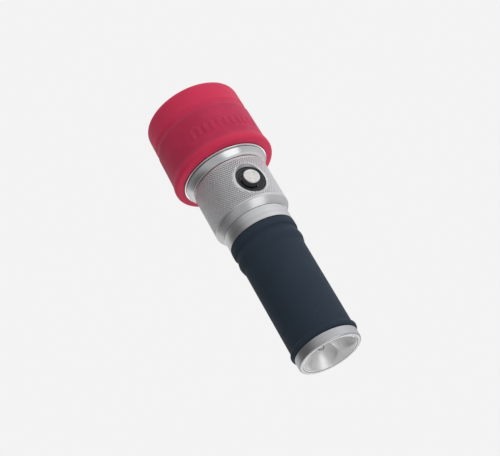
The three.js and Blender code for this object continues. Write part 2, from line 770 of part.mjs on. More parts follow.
function tailContactSpring() {
  const wideRadius = 4.4;
  const narrowRadius = 2.6;
  const wireRadius = 0.4;
  const turns = 3.5;
  const start = CARRIER_END + 0.6;
  const spring = coil(wideRadius, narrowRadius, wireRadius, start, TAIL_BOARD_START - 0.05, turns);
  return piece('tail_contact_spring', spring, MATERIALS.steel);
}

// ---------------------------------------------------------------- assembly

function group(...children) {
  const result = new THREE.Group();
  result.add(...children);
  return result;
}

const head = group(
  headShell(),
  frontBezelRing(),
  frontLens(),
  lensRing(),
  mainReflector(),
  mainLed(),
  ledStarBoard(),
  ledPill(),
  headCollar(),
  headORing(),
  lead('led_lead_positive', 1, MATERIALS.redWire),
  lead('led_lead_negative', -1, MATERIALS.blackWire),
);

const button = group(
  switchSurround(),
  buttonCap(),
  buttonPlunger(),
  buttonSpring(),
  switchBody(),
  driverBoard(),
  driverChip(),
);
button.rotation.x = Math.PI / 2;
button.position.z = BUTTON_HEIGHT;

const handle = group(
  switchHousing(),
  batteryTube(),
  housingORing(),
  gripSleeve(),
  contactBoard(),
  frontContactSpring(),
  carrierPlate('carrier_front_plate', CARRIER_START),
  carrierPlate('carrier_rear_plate', CARRIER_END - CARRIER_PLATE),
  carrierSpine(),
  ...carrierContacts(),
  ...batteryCells(),
);

const tail = group(
  tailCap(),
  tailORing(),
  tailReflector(),
  ...tailLamps(),
  tailBoard(),
  tailContactSpring(),
);

export default group(redBoot(), head, button, handle, tail);
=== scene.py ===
"""Looks of the traffic baton light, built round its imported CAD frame.

Every size is in millimetres in this file and turned into Blender's metres when a mesh is made.
The light stands on the front face of its red boot: +Z runs up to the tail and the button faces -Y.
"""

import json
import math

import bmesh
import bpy
from mathutils import Matrix, Vector

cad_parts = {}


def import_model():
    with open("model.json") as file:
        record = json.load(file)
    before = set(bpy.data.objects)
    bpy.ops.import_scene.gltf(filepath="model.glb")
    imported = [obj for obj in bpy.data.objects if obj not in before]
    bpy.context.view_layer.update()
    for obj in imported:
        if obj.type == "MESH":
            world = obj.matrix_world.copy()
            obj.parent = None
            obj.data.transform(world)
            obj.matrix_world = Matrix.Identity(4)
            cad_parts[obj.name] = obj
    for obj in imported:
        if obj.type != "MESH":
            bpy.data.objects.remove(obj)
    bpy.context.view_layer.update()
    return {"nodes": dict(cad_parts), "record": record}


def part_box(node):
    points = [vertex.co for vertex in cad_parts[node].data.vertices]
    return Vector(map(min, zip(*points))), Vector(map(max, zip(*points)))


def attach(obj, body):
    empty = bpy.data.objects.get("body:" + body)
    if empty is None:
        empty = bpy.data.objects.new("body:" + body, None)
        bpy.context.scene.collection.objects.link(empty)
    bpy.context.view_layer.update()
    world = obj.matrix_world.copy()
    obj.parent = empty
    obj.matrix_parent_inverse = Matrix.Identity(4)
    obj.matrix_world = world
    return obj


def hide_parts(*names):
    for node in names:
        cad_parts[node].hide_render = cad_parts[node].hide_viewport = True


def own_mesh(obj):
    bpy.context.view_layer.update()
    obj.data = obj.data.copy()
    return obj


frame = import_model()

MM = 0.001
FINE = 192  # segments round the large turned pieces
COARSE = 96  # segments round the small ones


# ---------------------------------------------------------------- reading the frame


def low(node):
    """Lowest height of a CAD node, in millimetres."""
    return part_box(node)[0].z / MM


def high(node):
    """Highest height of a CAD node, in millimetres."""
    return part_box(node)[1].z / MM


def radius(node):
    """Outer radius of a CAD node that is round about the light's axis, in millimetres."""
    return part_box(node)[1].x / MM


def centre(node):
    """Middle of a CAD node's box, in millimetres."""
    lowest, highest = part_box(node)
    return (lowest + highest) / 2 / MM


def outline_of(node, middle=(0.0, 0.0)):
    """The [radius, height] outline of a CAD node that was turned about a vertical line, in order."""
    mesh = frame["nodes"][node].data
    places = []
    for vertex in mesh.vertices:
        x = vertex.co.x / MM - middle[0]
        y = vertex.co.y / MM - middle[1]
        places.append((math.hypot(x, y), math.atan2(y, x), vertex.co.z / MM))

    def key(place):
        return (round(place[0], 2), round(place[2], 2))

    links = {}
    for edge in mesh.edges:
        a, b = (places[i] for i in edge.vertices)
        turned = abs((a[1] - b[1] + math.pi) % (2 * math.pi) - math.pi)
        on_axis = min(a[0], b[0]) < 0.01
        if key(a) != key(b) and (on_axis or turned < 0.01):
            links.setdefault(key(a), set()).add(key(b))
            links.setdefault(key(b), set()).add(key(a))
    ends = sorted(point for point in links if point[0] < 0.01)
    walk = [ends[0] if ends else min(links)]
    if ends:
        for point in ends:
            links[point] = {other for other in links[point] if other[0] >= 0.01}
    while True:
        ahead = sorted(point for point in links[walk[-1]] if point not in walk)
        if not ahead:
            return walk
        walk.append(ahead[0])


# ---------------------------------------------------------------- outlines


def ease(value):
    """Smooth step from 0 to 1."""
    t = min(1.0, max(0.0, value))
    return t * t * (3 - 2 * t)


def rounded(points, steps=5):
    """An outline with softened corners: a point is (radius, height) or (radius, height, softening)."""
    result = []
    count = len(points)
    for i, point in enumerate(points):
        corner = Vector(point[:2])
        soft = point[2] if len(point) > 2 else 0
        if soft == 0:
            result.append(tuple(corner))
            continue
        before = Vector(points[i - 1][:2])
        after = Vector(points[(i + 1) % count][:2])
        reach_in = min(soft, (before - corner).length * 0.49)
        reach_out = min(soft, (after - corner).length * 0.49)
        start = corner + (before - corner).normalized() * reach_in
        end = corner + (after - corner).normalized() * reach_out
        for step in range(steps + 1):
            t = step / steps
            here = start * (1 - t) ** 2 + corner * 2 * t * (1 - t) + end * t**2
            result.append(tuple(here))
    return result


def softened(points, soft):
    """The same softening at every corner that is off the axis."""
    return rounded([(r, z, soft if r > 0.01 else 0) for r, z in points])


def evenly(points, longest):
    """The outline with extra points, so that no straight stretch is too long.

    longest is a length, or a function that gives one for the two ends of a stretch.
    """
    result = []
    for a, b in zip(points, points[1:] + points[:1]):
        on_axis = a[0] < 0.01 and b[0] < 0.01
        limit = longest(a, b) if callable(longest) else longest
        pieces = 1 if on_axis else max(1, math.ceil(math.dist(a, b) / limit))
        for i in range(pieces):
            t = i / pieces
            result.append((a[0] + (b[0] - a[0]) * t, a[1] + (b[1] - a[1]) * t))
    return result


# ---------------------------------------------------------------- meshes


def mark_edges(bm, sharpest=32):
    """Smooth faces, with edges kept crisp where the surface turns by more than some degrees."""
    limit = math.radians(sharpest)
    for face in bm.faces:
        face.smooth = True
    for edge in bm.edges:
        edge.smooth = len(edge.link_faces) != 2 or edge.calc_face_angle(0) < limit


def add_object(name, bm, body, material, stands_for=()):
    """Turns a bmesh in millimetres into a named object that rides on a CAD body."""
    bmesh.ops.recalc_face_normals(bm, faces=bm.faces)
    mark_edges(bm)
    bmesh.ops.scale(bm, vec=(MM, MM, MM), verts=bm.verts)
    mesh = bpy.data.meshes.new(name)
    bm.to_mesh(mesh)
    bm.free()
    mesh.materials.append(material)
    piece = bpy.data.objects.new(name, mesh)
    bpy.context.scene.collection.objects.link(piece)
    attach(piece, body)
    if stands_for:
        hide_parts(*stands_for)
    return piece


def turned_rings(bm, outline, segments, displace=None, place=None):
    """Turns an open outline about the Z axis into a bmesh, and gives back its rings of vertices."""
    place = place or Matrix.Identity(4)
    rings = []
    for r, z in outline:
        if r < 0.005:
            rings.append([bm.verts.new(place @ Vector((0, 0, z)))])
            continue
        ring = []
        for i in range(segments):
            angle = 2 * math.pi * i / segments
            out = displace(r, angle, z) if displace else r
            point = Vector((out * math.cos(angle), out * math.sin(angle), z))
            ring.append(bm.verts.new(place @ point))
        rings.append(ring)
    for a, b in zip(rings, rings[1:]):
        join_rings(bm, a, b)
    return rings


def join_rings(bm, a, b):
    """Faces between two rings of vertices, either of which may be a single point on the axis."""
    count = max(len(a), len(b))
    if count == 1:
        return
    for i in range(count):
        j = (i + 1) % count
        if len(a) == 1:
            bm.faces.new((a[0], b[j], b[i]))
        elif len(b) == 1:
            bm.faces.new((a[i], a[j], b[0]))
        else:
            bm.faces.new((a[i], a[j], b[j], b[i]))


def revolve(outline, segments, displace=None, place=None):
    """A closed outline turned about Z. displace(radius, angle, height) gives the new radius."""
    bm = bmesh.new()
    rings = turned_rings(bm, outline, segments, displace, place)
    join_rings(bm, rings[-1], rings[0])
    return bm


def swept_wire(points, thickness, sides=12):
    """A round wire through the given points, with domed ends."""
    bm = bmesh.new()
    rings = []
    up = Vector((0, 0, 1))
    last = len(points) - 1
    for i, point in enumerate(points):
        ahead = points[min(i + 1, last)] - points[max(i - 1, 0)]
        across = ahead.cross(up).normalized()
        lift = across.cross(ahead).normalized()
        ring = []
        for k in range(sides):
            angle = 2 * math.pi * k / sides
            offset = across * math.cos(angle) + lift * math.sin(angle)
            ring.append(bm.verts.new(point + offset * thickness))
        rings.append(ring)
    for a, b in zip(rings, rings[1:]):
        for k in range(sides):
            j = (k + 1) % sides
            bm.faces.new((a[k], a[j], b[j], b[k]))
    for ring, point, sign in ((rings[0], points[0], -1), (rings[-1], points[-1], 1)):
        inward = points[1] - points[0] if sign < 0 else points[-1] - points[-2]
        tip = bm.verts.new(point + inward.normalized() * sign * thickness * 0.6)
        for k in range(sides):
            bm.faces.new((ring[k], ring[(k + 1) % sides], tip))
    return bm


def helix(start_radius, end_radius, bottom, top, turns):
    """Points of a coil spring whose two end turns close up flat."""
    points = []
    steps = round(turns * 40)
    for i in range(steps + 1):
        t = i / steps
        rise = ease(t) * 0.6 + t * 0.4
        r = start_radius + (end_radius - start_radius) * t
        angle = 2 * math.pi * turns * t
        height = bottom + (top - bottom) * rise
        points.append(Vector((r * math.cos(angle), r * math.sin(angle), height)))
    return points


def cut(piece, tool_mesh):
    """Cuts a bmesh tool, in millimetres, out of a finished piece, and keeps crisp edges crisp."""
    bmesh.ops.recalc_face_normals(tool_mesh, faces=tool_mesh.faces)
    bmesh.ops.scale(tool_mesh, vec=(MM, MM, MM), verts=tool_mesh.verts)
    mesh = bpy.data.meshes.new("cutting_tool")
    tool_mesh.to_mesh(mesh)
    tool_mesh.free()
    tool = bpy.data.objects.new("cutting_tool", mesh)
    bpy.context.scene.collection.objects.link(tool)
    modifier = piece.modifiers.new("cut", "BOOLEAN")
    modifier.operation = "DIFFERENCE"
    modifier.solver = "EXACT"
    modifier.object = tool
    bpy.context.view_layer.update()
    graph = bpy.context.evaluated_depsgraph_get()
    result = bpy.data.meshes.new_from_object(piece.evaluated_get(graph))
    piece.modifiers.remove(modifier)
    old = piece.data
    piece.data = result
    bpy.data.meshes.remove(old)
    bpy.data.objects.remove(tool)
    bpy.data.meshes.remove(mesh)
    bm = bmesh.new()
    bm.from_mesh(piece.data)
    mark_edges(bm)
    bm.to_mesh(piece.data)
    bm.free()


# ---------------------------------------------------------------- material nodes


class Nodes:
    """Short names for building one node material."""

    def __init__(self, name):
        self.material = bpy.data.materials.new(name)
        self.material.use_nodes = True
        self.tree = self.material.node_tree
        self.surface = self.tree.nodes["Principled BSDF"]

    def add(self, kind, **inputs):
        node = self.tree.nodes.new(kind)
        for name, value in inputs.items():
            if name in node.inputs:
                self.feed(node.inputs[name], value)
            else:
                setattr(node, name, value)
        return node

    def feed(self, socket, value):
        if isinstance(value, bpy.types.NodeSocket):
            self.tree.links.new(value, socket)
        else:
            socket.default_value = value

    def set(self, **inputs):
        """Principled inputs by name, with underscores for spaces."""
        for name, value in inputs.items():
            self.feed(self.surface.inputs[name.replace("_", " ")], value)

    def place(self):
        """The point in the light's own frame, in metres, which moves with the piece."""
        return self.add("ShaderNodeTexCoord").outputs["Object"]

    def noise(self, scale, detail=4.0, roughness=0.55, vector=None):
        node = self.add("ShaderNodeTexNoise", Scale=scale, Detail=detail, Roughness=roughness)
        self.feed(node.inputs["Vector"], vector or self.place())
        return node.outputs["Fac"]

    def maths(self, operation, a, b=0.0):
        node = self.add("ShaderNodeMath", operation=operation)
        self.feed(node.inputs[0], a)
        self.feed(node.inputs[1], b)
        return node.outputs[0]

    def between(self, factor, low_value, high_value, start=0.0, end=1.0):
        """A number that goes from one value to another as factor goes from start to end."""
        node = self.add("ShaderNodeMapRange")
        for name, value in (
            ("Value", factor), ("From Min", start), ("From Max", end),
            ("To Min", low_value), ("To Max", high_value),
        ):
            self.feed(node.inputs[name], value)
        return node.outputs["Result"]

    def colours(self, factor, *stops):
        """A colour ramp: each stop is (place, (red, green, blue))."""
        node = self.add("ShaderNodeValToRGB")
        ramp = node.color_ramp
        while len(ramp.elements) < len(stops):
            ramp.elements.new(0.5)
        for element, (place, colour) in zip(ramp.elements, stops):
            element.position = place
            element.color = (*colour, 1)
        self.feed(node.inputs["Fac"], factor)
        return node.outputs["Color"]

    def mixed(self, factor, first, second):
        """One colour turning into another as factor goes from 0 to 1."""
        node = self.add("ShaderNodeMix", data_type="RGBA")
        self.feed(node.inputs[0], factor)
        for socket, colour in ((node.inputs[6], first), (node.inputs[7], second)):
            self.feed(socket, (*colour, 1) if isinstance(colour, tuple) else colour)
        return node.outputs[2]

    def bump(self, height, distance, strength=1.0, normal=None):
        node = self.add("ShaderNodeBump", Strength=strength, Distance=distance)
        self.feed(node.inputs["Height"], height)
        if normal:
            self.feed(node.inputs["Normal"], normal)
        return node.outputs["Normal"]

    def lathe_place(self):
        """(radius, height) of the point about the light's axis: constant along a turning mark."""
        split = self.add("ShaderNodeSeparateXYZ")
        self.feed(split.inputs[0], self.place())
        squares = self.maths(
            "ADD",
            self.maths("MULTIPLY", split.outputs[0], split.outputs[0]),
            self.maths("MULTIPLY", split.outputs[1], split.outputs[1]),
        )
        out = self.maths("SQRT", squares)
        join = self.add("ShaderNodeCombineXYZ")
        self.feed(join.inputs[0], out)
        self.feed(join.inputs[1], split.outputs[2])
        return join.outputs[0], out


# ---------------------------------------------------------------- materials

BOOT_BAND_START = 10.7  # the front band's end, at the groove round the boot
BOOT_BAND_END = 13.4
BOOT_LIP_START = 30.5


def silicone():
    """Red silicone with lint and a dusty bloom. The front band and the lip are painted a lighter red:
    painted light standing in for light shining through the thin silicone and falling on the lip.
    """
    n = Nodes("red_silicone")
    cloud = n.noise(90, 3)
    lint = n.noise(2600, 6, 0.75)
    base = n.colours(cloud, (0.3, (0.58, 0.026, 0.085)), (0.7, (0.68, 0.036, 0.110)))
    dusty = n.mixed(n.between(lint, 0.0, 0.30, 0.66, 0.80), base, (0.80, 0.28, 0.36))
    split = n.add("ShaderNodeSeparateXYZ")
    n.feed(split.inputs[0], n.place())
    # painted light: the front band is painted lighter, a painted glow of light shining through it
    front = n.between(split.outputs[2], 0.5, 0.0, BOOT_BAND_START * MM, BOOT_BAND_END * MM)
    # painted light: the lip is painted lighter, where light falls on it and shines through it
    lip = n.between(split.outputs[2], 0.0, 0.45, BOOT_LIP_START * MM, (BOOT_LIP_START + 2) * MM)
    grain = n.maths("ADD", n.noise(5200, 2), n.maths("MULTIPLY", n.noise(700, 3), 1.5))
    n.set(
        # the pale red below is the painted light mixed in on the front band and the lip
        Base_Color=n.mixed(n.maths("ADD", front, lip), dusty, (0.95, 0.045, 0.125)),
        Roughness=n.between(n.noise(420, 4), 0.56, 0.70),
        Specular_IOR_Level=0.25,
        Subsurface_Weight=0.15,
        Subsurface_Scale=0.0025,
        Sheen_Weight=0.05,
        Sheen_Roughness=0.5,
        Normal=n.bump(grain, 0.00003, 0.6),
    )
    n.surface.inputs["Subsurface Radius"].default_value = (1.0, 0.18, 0.15)
    return n.material


def turned_metal(name, bright, dull, smooth, rough, marks, anisotropy):
    """Aluminium off a lathe: fine rings in its colour, roughness and surface."""
    n = Nodes(name)
    ring_place, _ = n.lathe_place()
    rings = n.noise(9000, 3, 0.6, ring_place)
    wide = n.noise(900, 3, 0.5, ring_place)
    smear = n.noise(160, 4)
    tangent = n.add("ShaderNodeTangent", direction_type="RADIAL", axis="Z")
    tone = n.maths("MULTIPLY", n.maths("ADD", rings, wide), 0.5)
    wear = n.maths("MULTIPLY", n.maths("ADD", rings, smear), 0.5)
    n.set(
        Base_Color=n.colours(tone, (0.35, dull), (0.65, bright)),
        Metallic=1.0,
        Roughness=n.between(wear, smooth, rough, 0.3, 0.7),
        Anisotropic=anisotropy,
        Tangent=tangent.outputs[0],
        Normal=n.bump(n.maths("ADD", rings, wide), marks, 0.5),
    )
    return n.material


def knurled_metal(crest, depth):
    """Aluminium with painted shade in the valleys between its diamonds: its colour darkens towards the
    valley floor. crest and depth are in millimetres.
    """
    n = Nodes("knurled_aluminium")
    _, out = n.lathe_place()
    # 0 at the valley floor, 1 at the crest; drives the painted valley shade and the roughness
    rise = n.between(out, 0.0, 1.0, (crest - depth) * MM, crest * MM)
    smear = n.noise(220, 4)
    # painted valley shade from the depth, plus random smeared tone
    valley_shade_and_smear = n.maths("ADD", rise, n.maths("MULTIPLY", n.maths("SUBTRACT", smear, 0.5), 0.35))
    n.set(
        Base_Color=n.colours(
            valley_shade_and_smear,
            # the dark stop is the painted shade at the valley floor
            (0.0, (0.38, 0.385, 0.39)),
            (0.55, (0.66, 0.665, 0.67)),
            (1.0, (0.78, 0.78, 0.78)),
        ),
        Metallic=1.0,
        Roughness=n.between(rise, 0.45, 0.33),
        Normal=n.bump(n.noise(6000, 3), 0.000006, 0.5),
    )
    return n.material


def mirror_metal():
    n = Nodes("metallised_reflector")
    haze = n.noise(320, 5, 0.6)
    n.set(
        Base_Color=n.colours(haze, (0.3, (0.74, 0.735, 0.73)), (0.7, (0.82, 0.815, 0.81))),
        Metallic=1.0,
        Roughness=n.between(haze, 0.36, 0.46, 0.3, 0.7),
        Normal=n.bump(n.noise(900, 3), 0.00001, 0.4),
    )
    return n.material


def grip_rubber():
    n = Nodes("grip_rubber")
    cloud = n.noise(70, 4)
    stipple = n.add("ShaderNodeTexVoronoi", Scale=2300.0)
    n.feed(stipple.inputs["Vector"], n.place())
    scuffs = n.noise(900, 6, 0.7)
    worn = n.maths("MULTIPLY", n.between(scuffs, 0.0, 1.0, 0.6, 0.8), 0.5)
    tone = n.maths("ADD", n.maths("MULTIPLY", cloud, 0.6), worn)
    n.set(
        Base_Color=n.colours(
            tone,
            (0.15, (0.026, 0.042, 0.062)),
            (0.5, (0.032, 0.050, 0.072)),
            (1.0, (0.07, 0.09, 0.11)),
        ),
        Roughness=n.between(scuffs, 0.62, 0.82, 0.3, 0.7),
        Specular_IOR_Level=0.2,
        Normal=n.bump(n.maths("ADD", stipple.outputs["Distance"], n.noise(4200, 2)), 0.00004, 0.5),
    )
    return n.material


def seal_rubber():
    n = Nodes("seal_rubber")
    cloud = n.noise(1200, 4)
    n.set(
        Base_Color=n.colours(cloud, (0.3, (0.010, 0.010, 0.011)), (0.7, (0.024, 0.024, 0.026))),
        Roughness=n.between(n.noise(2500, 3), 0.35, 0.5),
        Normal=n.bump(n.noise(4000, 3), 0.00001, 0.4),
    )
    return n.material


def plastic(name, dark, light, smooth, rough, grain=3000, depth=0.000008):
    """Moulded plastic with a faint grain."""
    n = Nodes(name)
    n.set(
        Base_Color=n.colours(n.noise(600, 4), (0.3, dark), (0.7, light)),
        Roughness=n.between(n.noise(1500, 4), smooth, rough, 0.3, 0.7),
        Normal=n.bump(n.noise(grain, 3), depth, 0.5),
    )
    return n.material


def clear_plastic():
    n = Nodes("clear_plastic")
    n.set(
        Base_Color=n.colours(n.noise(300, 2), (0.2, (0.95, 0.97, 0.97)), (0.8, (1.0, 1.0, 1.0))),
        Roughness=n.between(n.noise(1400, 4), 0.01, 0.05, 0.4, 0.8),
        Transmission_Weight=1.0,
        IOR=1.49,
    )
    return n.material


def plated_metal(name, dull, bright, smooth, rough):
    """Brass or nickel plate with a little tarnish."""
    n = Nodes(name)
    stain = n.noise(700, 5, 0.65)
    n.set(
        Base_Color=n.colours(stain, (0.3, dull), (0.65, bright)),
        Metallic=1.0,
        Roughness=n.between(stain, rough, smooth, 0.3, 0.7),
        Normal=n.bump(n.noise(5000, 3), 0.000005, 0.4),
    )
    return n.material


def circuit_board():
    """Green solder mask with copper tracks showing through as lighter lines."""
    n = Nodes("circuit_board")
    tracks = n.add("ShaderNodeTexBrick", Scale=420.0)
    n.feed(tracks.inputs["Vector"], n.place())
    tracks.inputs["Color1"].default_value = (0.010, 0.085, 0.035, 1)
    tracks.inputs["Color2"].default_value = (0.012, 0.11, 0.045, 1)
    tracks.inputs["Mortar"].default_value = (0.05, 0.26, 0.11, 1)
    tracks.inputs["Mortar Size"].default_value = 0.05
    n.set(
        Base_Color=tracks.outputs["Color"],
        Roughness=n.between(n.noise(900, 3), 0.28, 0.42),
        Normal=n.bump(tracks.outputs["Fac"], 0.00003, 0.5),
    )
    return n.material


def cell_sleeve():
    """A plain two-tone battery sleeve: blue body with a copper-coloured shoulder."""
    n = Nodes("cell_sleeve")
    split = n.add("ShaderNodeSeparateXYZ")
    n.feed(split.inputs[0], n.place())
    start = low("battery_cell_1") * MM
    end = high("battery_cell_1") * MM
    along = n.between(split.outputs[2], 0.0, 1.0, start, end)
    n.set(
        Base_Color=n.colours(
            along,
            (0.0, (0.62, 0.60, 0.56)),
            (0.03, (0.50, 0.24, 0.08)),
            (0.28, (0.02, 0.07, 0.20)),
            (0.97, (0.02, 0.07, 0.20)),
        ),
        Metallic=0.6,
        Roughness=n.between(n.noise(1200, 4), 0.25, 0.4),
        Normal=n.bump(n.noise(2500, 3), 0.000006, 0.4),
    )
    n.tree.nodes["Color Ramp"].color_ramp.interpolation = "CONSTANT"
    return n.material


def phosphor():
    n = Nodes("lamp_resin")
    n.set(
        Base_Color=n.colours(n.noise(2500, 3), (0.3, (0.80, 0.62, 0.12)), (0.7, (0.92, 0.78, 0.22))),
        Roughness=n.between(n.noise(2000, 3), 0.22, 0.4),
        Subsurface_Weight=0.2,
        Subsurface_Scale=0.001,
    )
    return n.material


KNURL_DEPTH = 0.17
HOUSING_RADIUS = radius("switch_housing")

SATIN = turned_metal(
    "satin_aluminium", bright=(0.70, 0.70, 0.70), dull=(0.56, 0.565, 0.57),
    smooth=0.22, rough=0.36, marks=0.000012, anisotropy=0.45,
)
POLISHED = turned_metal(
    "polished_aluminium", bright=(0.84, 0.84, 0.84), dull=(0.72, 0.725, 0.73),
    smooth=0.10, rough=0.19, marks=0.000004, anisotropy=0.3,
)
CAP_METAL = turned_metal(
    "button_cap_metal", bright=(0.80, 0.78, 0.76), dull=(0.66, 0.65, 0.63),
    smooth=0.20, rough=0.32, marks=0.000006, anisotropy=0.0,
)
COLLAR_METAL = turned_metal(
    "collar_metal", bright=(0.78, 0.78, 0.78), dull=(0.64, 0.645, 0.65),
    smooth=0.14, rough=0.26, marks=0.000008, anisotropy=0.4,
)
TAIL_METAL = turned_metal(
    "tail_cap_metal", bright=(0.60, 0.60, 0.61), dull=(0.47, 0.475, 0.485),
    smooth=0.26, rough=0.38, marks=0.000014, anisotropy=0.45,
)
MATERIALS = {
    "red_silicone": silicone(),
    "satin_aluminium": SATIN,
    "polished_aluminium": POLISHED,
    "knurled_aluminium": knurled_metal(HOUSING_RADIUS, KNURL_DEPTH),
    "reflector": mirror_metal(),
    "grip_rubber": grip_rubber(),
    "seal_rubber": seal_rubber(),
    "black_plastic": plastic(
        "black_plastic", dark=(0.018, 0.021, 0.027), light=(0.027, 0.031, 0.038),
        smooth=0.14, rough=0.26,
    ),
    "carrier_plastic": plastic(
        "carrier_plastic", dark=(0.018, 0.018, 0.019), light=(0.035, 0.035, 0.037),
        smooth=0.45, rough=0.6, grain=1800, depth=0.00002,
    ),
    "clear_plastic": clear_plastic(),
    "lamp_resin": phosphor(),
    "brass": plated_metal("brass", (0.42, 0.27, 0.09), (0.72, 0.54, 0.22), 0.18, 0.4),
    "spring_steel": plated_metal("spring_steel", (0.42, 0.42, 0.41), (0.66, 0.66, 0.65), 0.16, 0.34),
    "circuit_board": circuit_board(),
    "cell_sleeve": cell_sleeve(),
    "red_wire": plastic("red_wire", (0.30, 0.010, 0.010), (0.45, 0.02, 0.02), 0.3, 0.45),
    "black_wire": plastic("black_wire", (0.010, 0.010, 0.010), (0.02, 0.02, 0.02), 0.3, 0.45),
}
SLOT_OF = {row["node"]: row["material_slot"] for row in frame["record"]["subparts"]}
BODY_OF = {
    node: body
    for body, nodes in frame["record"]["behaviour"]["bodies"].items()
    for node in nodes
}


def build(node, bm, material=None):
    """A finished piece that stands for one CAD node and takes its body and slot."""
    slot = SLOT_OF[node]
    return add_object(f"{node}_fine", bm, BODY_OF[node], material or MATERIALS[slot], (node,))


# ---------------------------------------------------------------- red boot

BOOT_SEGMENTS = 560
BAR_COUNT = 11
BAR_SPACING = math.radians(8.2)
BAR_HALF_WIDTH = 0.85
BAR_HALF_HEIGHT = 2.3
BAR_RAISE = 0.24
BAR_EDGE = 0.35
BAR_HEIGHT_SHARE = 0.68  # how far along the boot the bars' middle is
BUTTON_DIRECTION = -math.pi / 2


def red_boot():
    node = "red_diffuser_boot"
    lip = radius(node)
    length = high(node)
    side = lip - 0.9
    front = lip - 1.35
    bore = radius("head_shell") - 0.2
    face = low("front_bezel_ring") - 0.3
    groove = BOOT_BAND_START
    step = BOOT_BAND_END
    bars = length * BAR_HEIGHT_SHARE
    outline = rounded([
        (0, 0),
        (front, 0, 2.6),
        (front + 0.18, groove - 0.9, 0.4),
        (front + 0.20, groove - 0.25, 0.3),
        (front - 0.06, groove + 0.25, 0.4),
        (front - 0.02, step - 0.6, 0.5),
        (side, step + 0.4, 0.8),
        (side + 0.15, length * 0.70, 1.0),
        (side + 0.3, length * 0.855, 0.8),
        (lip - 0.1, length * 0.905, 0.9),
        (lip, length * 0.955, 0.8),
        (lip - 0.6, length - 0.35, 0.7),
        (bore + 1.6, length, 0.8),
        (bore + 0.25, length, 0.2),
        (bore, length - 0.4, 0.2),
        (bore, face, 1.0),
        (0, face),
    ], 7)
    band_start = bars - BAR_HALF_HEIGHT - 0.5
    band_end = bars + BAR_HALF_HEIGHT + 0.5

    def spacing(a, b):
        """Fine steps where the bars stand, and coarse ones elsewhere."""
        outside = min(a[0], b[0]) > bore + 1
        in_band = max(a[1], b[1]) > band_start and min(a[1], b[1]) < band_end
        return 0.17 if outside and in_band else 1.6

    def raise_bars(r, angle, z):
        if r < bore + 1 or abs(z - bars) > BAR_HALF_HEIGHT + 0.5:
            return r
        away = (angle - BUTTON_DIRECTION + math.pi) % (2 * math.pi) - math.pi
        nearest = round(away / BAR_SPACING)
        if abs(nearest) > BAR_COUNT // 2:
            return r
        across = abs(away - nearest * BAR_SPACING) * r
        along = abs(z - bars)
        # distance from the middle line of a bar with round ends
        straight = BAR_HALF_HEIGHT - BAR_HALF_WIDTH
        reach = math.hypot(across, max(0.0, along - straight))
        return r + BAR_RAISE * ease((BAR_HALF_WIDTH - reach) / BAR_EDGE + 0.5)

    return build(node, revolve(evenly(outline, spacing), BOOT_SEGMENTS, raise_bars))


# ---------------------------------------------------------------- switch housing

KNURL_COLUMNS = 104  # diamonds round the housing
KNURL_STRETCH = 1.4  # how much longer a diamond is than it is wide
KNURL_LAND = 0.5  # share of a diamond that its flat top covers
KNURL_START = 40.0
KNURL_END = 60.9
BUTTON_CLEAR_RADIUS = 7.7  # plain disc round the button
BUTTON_HEIGHT = centre("button_cap").z
HOUSING_TURN = Matrix.Translation((0, 0, BUTTON_HEIGHT)) @ Matrix.Rotation(math.pi / 2, 4, "X")


def knurl_depth(angle, z):
    """How deep the knurl's valleys are here: nothing beside the button or at the band's ends."""
    across = HOUSING_RADIUS * math.sin(angle - BUTTON_DIRECTION)
    facing_button = math.cos(angle - BUTTON_DIRECTION) > 0
    clear = math.hypot(across, z - BUTTON_HEIGHT) if facing_button else HOUSING_RADIUS
    to_end = min(z - KNURL_START, KNURL_END - z)
    return KNURL_DEPTH * ease((clear - BUTTON_CLEAR_RADIUS) / 0.5 + 0.5) * ease(to_end / 0.4)


def knurled_band(bm, lower_ring, upper_ring):
    """Flat-topped diamonds between two plain rings, which have two vertices for each diamond."""
    columns = len(lower_ring)
    step_angle = 2 * math.pi / columns
    rows = 2 * round((KNURL_END - KNURL_START) / (step_angle * HOUSING_RADIUS * KNURL_STRETCH) / 2)
    step_height = (KNURL_END - KNURL_START) / rows

    def point(i, j, sunk):
        angle = step_angle * i
        z = KNURL_START + step_height * j
        r = HOUSING_RADIUS - sunk * knurl_depth(angle, z)
        return bm.verts.new((r * math.cos(angle), r * math.sin(angle), z))

    # valleys cross at every other point of the grid, and a diamond stands on each point between
    crossing = {(i, 0): vertex for i, vertex in enumerate(lower_ring)}
    crossing.update({(i, rows): vertex for i, vertex in enumerate(upper_ring)})
    for j in range(1, rows):
        for i in range(columns):
            if (i + j) % 2 == 1:
                crossing[i, j] = point(i, j, 1)
    steps = ((1, 0), (0, 1), (-1, 0), (0, -1))
    for j in range(1, rows):
        for i in range(columns):
            if (i + j) % 2 == 1:
                continue
            corners = [crossing[(i + di) % columns, j + dj] for di, dj in steps]
            tops = [point(i + KNURL_LAND * di, j + KNURL_LAND * dj, 0) for di, dj in steps]
            bm.faces.new(tops)
            for k in range(4):
                following = (k + 1) % 4
                bm.faces.new((tops[k], corners[k], corners[following], tops[following]))
    for j, inside in ((0, 1), (rows, rows - 1)):
        for i in range(columns):
            if (i + j) % 2 == 0:
                left = crossing[(i - 1) % columns, j]
                right = crossing[(i + 1) % columns, j]
                bm.faces.new((left, crossing[i, j], right, crossing[i, inside]))


